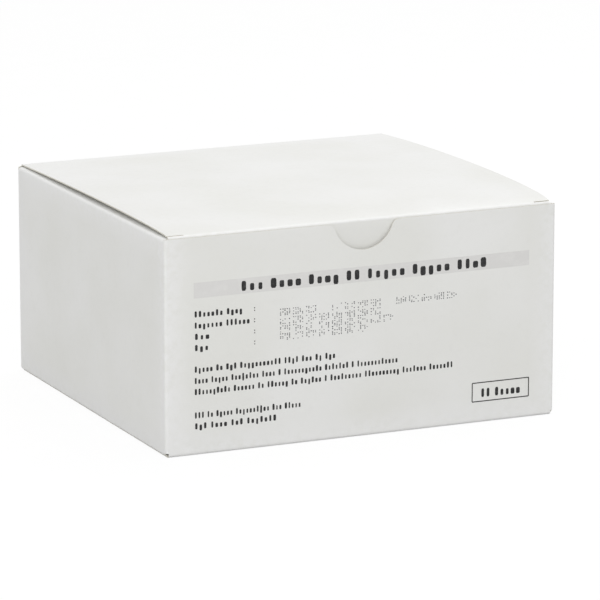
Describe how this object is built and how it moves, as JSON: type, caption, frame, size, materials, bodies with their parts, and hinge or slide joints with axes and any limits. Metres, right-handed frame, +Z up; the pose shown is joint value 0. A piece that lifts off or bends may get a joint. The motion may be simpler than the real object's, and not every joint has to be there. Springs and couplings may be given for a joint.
{
  "type": "drug test kit",
  "caption": "White paperboard carton with a thumb notch and a hinged tuck lid, packed with stacks of sealed foil test pouches and a folded leaflet.",
  "frame": {"origin": "centre of the carton's base, on the surface that it stands on", "axes": "+X along the front panel's width (the longest side), +Y from the front panel to the back panel, +Z up, square to the base"},
  "size_m": [0.1598, 0.15, 0.0856],
  "materials": {
    "coated_board": "clay-coated, satin",
    "pouch_foil": "matt foil laminate",
    "leaflet_paper": "uncoated"
  },
  "bodies": {
    "carton": {"carton_body": "coated_board", "package_insert": "leaflet_paper", "pouch_01": "pouch_foil", "pouch_02": "pouch_foil", "pouch_03": "pouch_foil", "pouch_04": "pouch_foil", "pouch_05": "pouch_foil", "pouch_06": "pouch_foil", "pouch_07": "pouch_foil", "pouch_08": "pouch_foil", "pouch_09": "pouch_foil", "pouch_10": "pouch_foil", "pouch_11": "pouch_foil", "pouch_12": "pouch_foil", "pouch_13": "pouch_foil", "pouch_14": "pouch_foil", "pouch_15": "pouch_foil", "pouch_16": "pouch_foil", "pouch_17": "pouch_foil", "pouch_18": "pouch_foil", "pouch_19": "pouch_foil", "pouch_20": "pouch_foil", "pouch_21": "pouch_foil", "pouch_22": "pouch_foil", "pouch_23": "pouch_foil", "pouch_24": "pouch_foil", "pouch_25": "pouch_foil"},
    "lid": {"lid": "coated_board"}
  },
  "joints": [
    {"name": "lid_hinge", "type": "hinge", "parent": "carton", "child": "lid", "pos_m": [0, 0.07498, 0.0828], "axis": [-1, 0, 0], "range_deg": [0, 200]}
  ]
}
